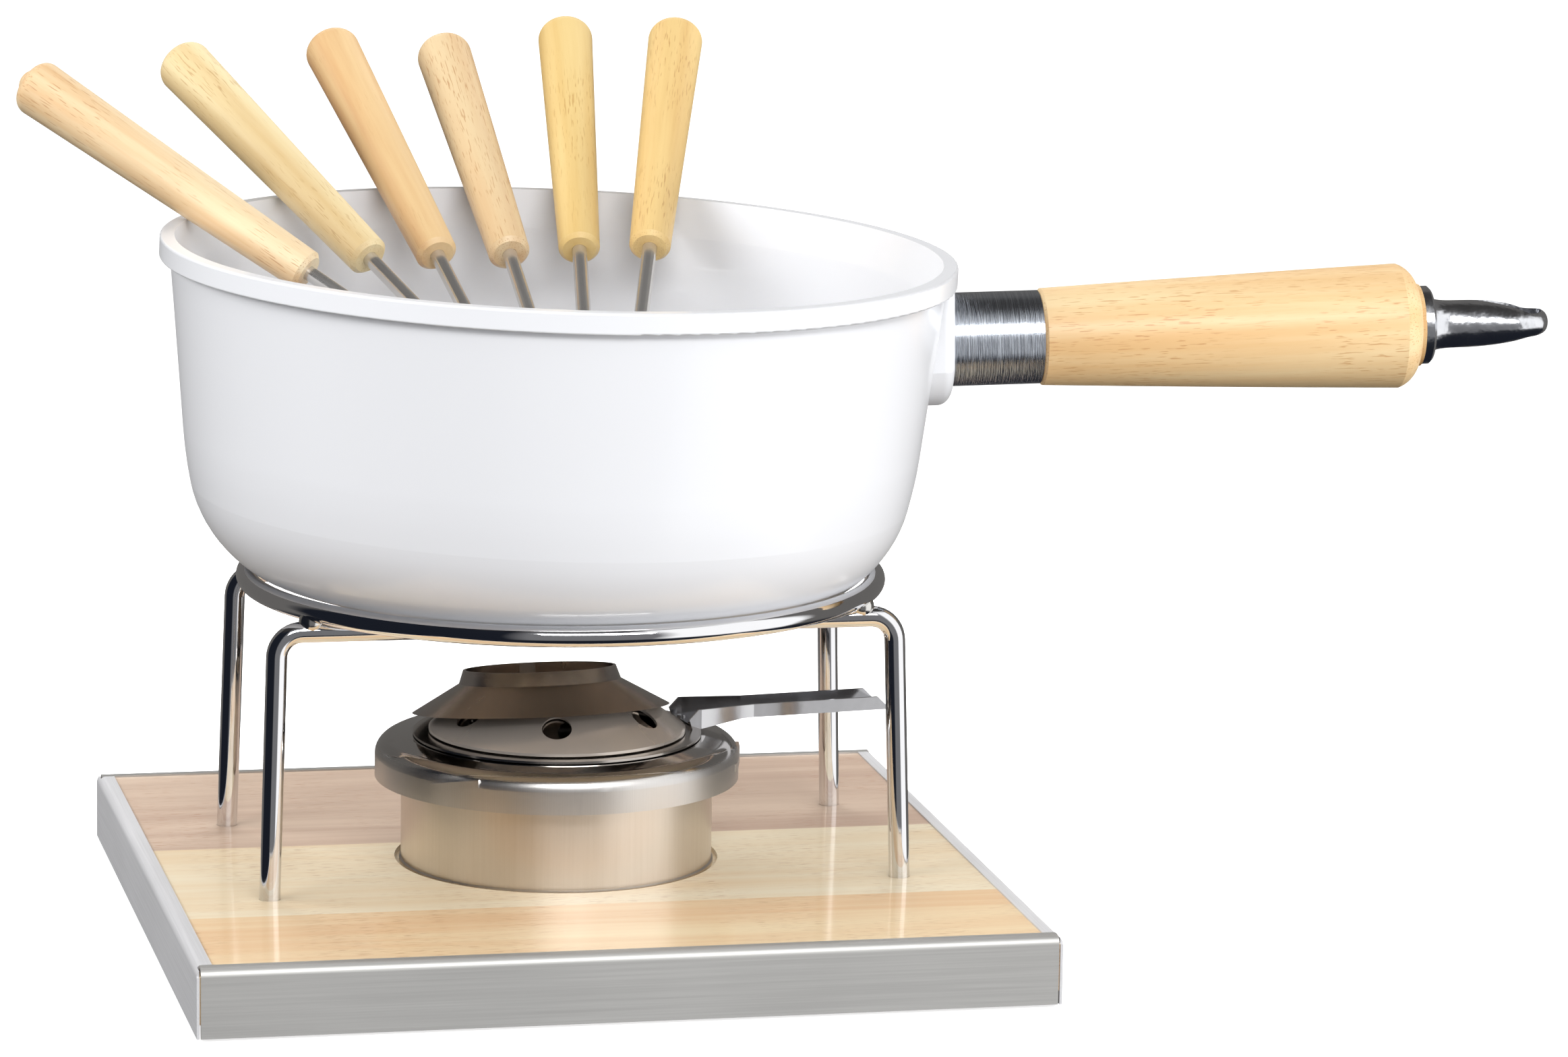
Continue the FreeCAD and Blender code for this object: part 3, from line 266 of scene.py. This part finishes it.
# ---- Handle -----------------------------------------------------------------------------------------
# A turned rubberwood grip on a spun steel collar, drawn up by a tie rod between the pan's boss and a
# die-cast end cap with a hanging eye. Everything is strung on one axis.
grip_low, grip_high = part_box("handle_grip")
collar_low, collar_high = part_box("handle_collar")
handle_from = (collar_low + collar_high) / 2
handle_to = (grip_low + grip_high) / 2
handle_way = (handle_to - handle_from).normalized()


def own_directions(way):
    """Turn that lays X along a way, for a Mapping node."""
    side = Vector((0, 0, 1)).cross(way).normalized()
    top = way.cross(side)
    return tuple(Matrix((way, side, top)).transposed().to_euler("XYZ"))


def turned_wood(name, at, way, pale, dark, pore):
    """Turned and oiled rubberwood, its grain along the piece."""
    wood = Finish(name, Roughness=0.44, Coat_Weight=0.12, Coat_Roughness=0.25)
    along = wood.place.placed(tuple(at), own_directions(way))
    colour, pores = wood_grain(along, pale, dark, pore)
    wood.vary(Base_Color=colour, Normal=(1.0 - pores).bump(0.00003, 0.30))
    return wood


turned_wood("grip_wood", handle_from, handle_way, paint(222, 200, 158), paint(208, 170, 120),
            paint(174, 122, 72)).on("handle_grip")
zinc_plate.on("handle_tie_rod")

# The collar is brushed round and round, so its scratches lie across the handle.
round_scratch = (0.0004, 0.05, 0.05)
spun = Finish("spun_collar", Metallic=1.0)
rings = spun.place.placed(tuple(handle_from), own_directions(handle_way), round_scratch).noise(1.0, 4.0, 0.65)
spun.vary(Base_Color=rings.step(0.3, 0.7).blend(paint(190, 196, 206), paint(216, 222, 230)),
          Roughness=rings * 0.10 + 0.17, Normal=rings.bump(0.00018, 1.0)).on("handle_collar")

cast_cap = Finish("cast_cap", Metallic=1.0)
swell = cast_cap.place.noise(240.0, 2.0, 0.5)
pit = cast_cap.place.noise(1400.0, 2.0, 0.5)
cast_cap.vary(Base_Color=swell.blend(paint(206, 208, 213), paint(228, 229, 232)),
              Roughness=pit * 0.10 + 0.18, Normal=swell.bump(0.0010, 0.35)).on("handle_end_cap")

# ---- Forks ------------------------------------------------------------------------------------------
# Six turned rubberwood grips, each from a different blank and so a different tone, on polished
# stainless rods whose heads are pressed flat and slit into three prongs.
fork_tones = (
    (paint(222, 206, 172), paint(198, 158, 112), paint(162, 112, 68)),
    (paint(218, 202, 160), paint(200, 172, 124), paint(172, 136, 90)),
    (paint(212, 184, 138), paint(190, 146, 100), paint(162, 110, 66)),
    (paint(208, 186, 148), paint(190, 150, 106), paint(162, 114, 70)),
    (paint(212, 188, 132), paint(196, 162, 98), paint(172, 132, 72)),
    (paint(212, 184, 126), paint(190, 152, 94), paint(162, 118, 68)),
)
rod_tone = paint(214, 211, 207)
blank_step = 0.2
fork_ways = {joint["child"]: Vector(joint["axis"]) for joint in frame["joints"]}
for number, (pale, dark, pore) in enumerate(fork_tones, 1):
    grip = "fork_%d_grip" % number
    low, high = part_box(grip)
    blank = (low + high) / 2 + Vector((blank_step * number, 0, 0))
    turned_wood("fork_wood_%d" % number, blank, fork_ways["fork_%d" % number], pale, dark, pore).on(grip)
    bright_metal("fork_steel_%d" % number, rod_tone, 0.20, 0.06, 0.0, metallic=0.85).on(
        "fork_%d_rod" % number)

# ---- Burner cup -------------------------------------------------------------------------------------
# Deep-drawn tinned steel cup, satin from the die, with a rolled seam at its foot. Mineral wool and a
# disc of wire gauze lie inside.
cup_low, cup_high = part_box("burner_cup")
burner_axis = ((cup_low.x + cup_high.x) / 2, (cup_low.y + cup_high.y) / 2, 0.0)


def round_about(place, axis, fine_up, fine_round):
    """Noise in height and angle about an upright axis: bands round a spun or drawn piece, used both for marks
    and for painted reflection bands.
    """
    centred = place.placed(axis)
    angle = centred.axis("Y").maths("ARCTAN2", centred.axis("X"))
    laid = place.node("ShaderNodeCombineXYZ", {}, {0: angle * fine_round, 1: centred.axis("Z") * fine_up,
                                                   2: 0.0})
    return laid.noise(1.0, 3.0, 0.6)


# The upright bands round the cup are partly drawing marks and partly painted reflection bands. Its warm tone
# is partly a painted reflection of the wooden board.
satin = Finish("satin_cup", Metallic=1.0)
drawn_marks_and_painted_bands = round_about(satin.place, burner_axis, 20.0, 46.0)
frost = satin.place.noise(2400.0, 2.0, 0.5)
satin.vary(Base_Color=drawn_marks_and_painted_bands.blend(paint(216, 208, 198), paint(228, 221, 213)),
           Roughness=drawn_marks_and_painted_bands * 0.05 + 0.33, Normal=frost.bump(0.00002, 0.3)).on("burner_cup")
wool = Finish("mineral_wool", Roughness=0.95)
tangle = wool.place.noise(700.0, 5.0, 0.7)
wool.vary(Base_Color=tangle.blend(paint(198, 192, 178), paint(232, 228, 218)),
          Normal=tangle.bump(0.0006, 0.8)).on("fuel_wadding")
gauze = Finish("wire_gauze", Metallic=1.0, Roughness=0.4)
gauze_pitch = 3600.0                  # radians of weave per metre
warp = (gauze.place.axis("X") * gauze_pitch).maths("SINE")
weft = (gauze.place.axis("Y") * gauze_pitch).maths("SINE")
weave = warp * weft
gauze.vary(Base_Color=weave.step(-0.6, 0.8).blend(paint(52, 50, 48), paint(168, 166, 162)),
           Normal=weave.bump(0.0003, 0.8)).on("wick_gauze")

# ---- Burner lid, dome and flame cone ----------------------------------------------------------------
# Pressed stainless sheet, bright as it comes off the polished die; the lid's skirt keeps the upright
# drawing marks of its edge, and the cone is brushed round.
lid_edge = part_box("burner_lid")[0].z
skirt_fades = 0.0085                  # above the lid's lower edge
skirt_ends = 0.0105
lid_steel = Finish("pressed_lid", Metallic=1.0)
marks = round_about(lid_steel.place, burner_axis, 20.0, 240.0)
skirt = 1.0 - lid_steel.place.axis("Z").step(lid_edge + skirt_fades, lid_edge + skirt_ends)
lid_steel.vary(Base_Color=(marks * skirt).blend(paint(198, 195, 192), paint(222, 220, 218)),
               Roughness=skirt * (marks * 0.10 + 0.22) + 0.09,
               Normal=(marks * skirt).bump(0.00003, 0.3)).on("burner_lid")
bright_metal("dome_steel", paint(206, 197, 188), 0.22, 0.04, 0.0, metallic=0.72).on("air_dome", "cone_stays")
# The soft upright bands round the round-brushed cone, lighter and darker, are painted highlight bands.
cone_steel = Finish("brushed_cone", Metallic=1.0)
painted_cone_bands = round_about(cone_steel.place, burner_axis, 60.0, 2.5)
cone_steel.vary(Base_Color=painted_cone_bands.blend(paint(166, 158, 152), paint(186, 179, 172)),
                Roughness=painted_cone_bands * 0.08 + 0.22).on("flame_cone")

# ---- Regulator --------------------------------------------------------------------------------------
# A punched stainless disc that turns under the dome. Its lever is a channel folded from sheet, spot
# riveted to the disc; it stays outside the flame.
bright_metal("ring_steel", paint(190, 184, 178), 0.14, 0.04, 0.0).on("regulator_disc")
bright_metal("lever_steel", paint(200, 200, 202), 0.09, 0.06, 0.00004).on("regulator_lever", "lever_rivets")

# ---- Studio -----------------------------------------------------------------------------------------
# A white table in a dim studio: one bright wall of light at the right, a soft box high in front, and
# soft fill from the left, the back and above. The object shows the studio, not the table.
table_reach = 0.7
corners = [(-table_reach, -table_reach, 0), (table_reach, -table_reach, 0), (table_reach, table_reach, 0),
           (-table_reach, table_reach, 0)]
table_mesh = bpy.data.meshes.new("table_top")
table_mesh.from_pydata(corners, [], [(0, 1, 2, 3)])
table = bpy.data.objects.new("table_top", table_mesh)
table.visible_glossy = False
table.visible_diffuse = False
bpy.context.scene.collection.objects.link(table)
white_card = Finish("white_card", Roughness=0.9, Base_Color=paint(244, 244, 244),
                    Emission_Color=(1.0, 1.0, 1.0, 1.0), Emission_Strength=0.75)
card_fibre = white_card.place.noise(90.0, 3.0)
white_card.vary(Normal=card_fibre.bump(0.0002, 0.05))
table_mesh.materials.append(white_card.material)

# The walls by bearing: 0 behind the set, a quarter at its left, a half on the camera's side. The camera
# itself sees plain white.
dim, dark = (0.12, 0.115, 0.11, 1), (0.010, 0.012, 0.018, 1)
mid, bright = (0.16, 0.16, 0.165, 1), (1, 1, 1, 1)
roof = (0.035, 0.033, 0.032, 1)
backdrop_white = (1.0, 1.0, 1.0, 1.0)
wall_stops = [(0.0, dim), (0.16, dim), (0.19, dark), (0.415, dark), (0.44, mid), (0.566, mid),
              (0.588, bright), (0.728, bright), (0.748, dim)]
world = bpy.data.worlds.new("studio")
world.use_nodes = True
bpy.context.scene.world = world
sky = world.node_tree
way_out = Strand(sky).node("ShaderNodeTexCoord", out="Generated")
east, north, lift = way_out.axis("X"), way_out.axis("Y"), way_out.axis("Z")
bearing = east.maths("ARCTAN2", 0.0 - north) / (2 * math.pi) + 0.5
walls = bearing.node("ShaderNodeValToRGB", {"stops": wall_stops}, {0: bearing})
above_floor = lift.step(-0.62, -0.45).blend(dark, walls)
studio_room = lift.step(0.74, 0.90).blend(above_floor, roof)
seen = Strand(sky).node("ShaderNodeLightPath", out="Is Camera Ray")
backdrop = sky.nodes["Background"]
sky.links.new(seen.blend(studio_room, backdrop_white).socket, backdrop.inputs["Color"])
backdrop.inputs["Strength"].default_value = 1.3


def soft_light(name, at, aim, size, watts, mirrored=False):
    """A rectangular soft box; polished metal mirrors it only where that is asked for."""
    lamp = bpy.data.lights.new(name, "AREA")
    lamp.shape = "RECTANGLE"
    lamp.size, lamp.size_y = size
    lamp.energy = watts
    holder = bpy.data.objects.new(name, lamp)
    holder.location = at
    holder.rotation_euler = (Vector(aim) - Vector(at)).to_track_quat("-Z", "Y").to_euler()
    holder.visible_glossy = mirrored
    bpy.context.scene.collection.objects.link(holder)


soft_light("overhead", (0.1, -0.1, 1.4), (0.05, 0.0, 0.1), (1.3, 0.9), 3.0)
soft_light("left_fill", (-1.3, -0.7, 0.6), (0.0, 0.0, 0.14), (0.8, 0.9), 16.0)
soft_light("front_box", (0.1, -1.7, 1.15), (0.05, 0.0, 0.12), (1.3, 0.5), 26.5, mirrored=True)
soft_light("back_high", (0.15, 1.1, 0.9), (0.0, 0.0, 0.02), (1.4, 0.5), 18.0)
soft_light("side_left", (-1.1, 0.2, 0.75), (0.0, 0.0, 0.02), (0.9, 0.5), 9.0)
soft_light("side_right", (1.2, 0.3, 0.75), (0.0, 0.0, 0.02), (0.9, 0.5), 5.0)
soft_light("low_right", (0.85, -0.5, 0.06), (0.15, 0.0, 0.16), (0.7, 0.1), 5.5)

# ---- Camera -----------------------------------------------------------------------------------------
# It stands two metres back, a little above the rim and to the left of the set, and looks at the set
# through a long lens.
eye_place = (-0.35616, -1.94166, 0.49539)
yaw, pitch, roll = 0.2157, 0.1867, 0.0153
eye = bpy.data.cameras.new("eye")
eye.sensor_width = 36.0
eye.lens = 152.34
eye.clip_start = 0.1
eye.clip_end = 40.0
forward = Vector((math.sin(yaw) * math.cos(pitch), math.cos(yaw) * math.cos(pitch), -math.sin(pitch)))
level = Vector((math.cos(yaw), -math.sin(yaw), 0.0))
rise = level.cross(forward)
right = level * math.cos(roll) + rise * math.sin(roll)
top = rise * math.cos(roll) - level * math.sin(roll)
turn = Matrix((right, top, -forward)).transposed().to_4x4()
eye_holder = bpy.data.objects.new("eye", eye)
eye_holder.matrix_world = Matrix.Translation(eye_place) @ turn
bpy.context.scene.collection.objects.link(eye_holder)
bpy.context.scene.camera = eye_holder
bpy.context.scene.view_settings.view_transform = "Standard"
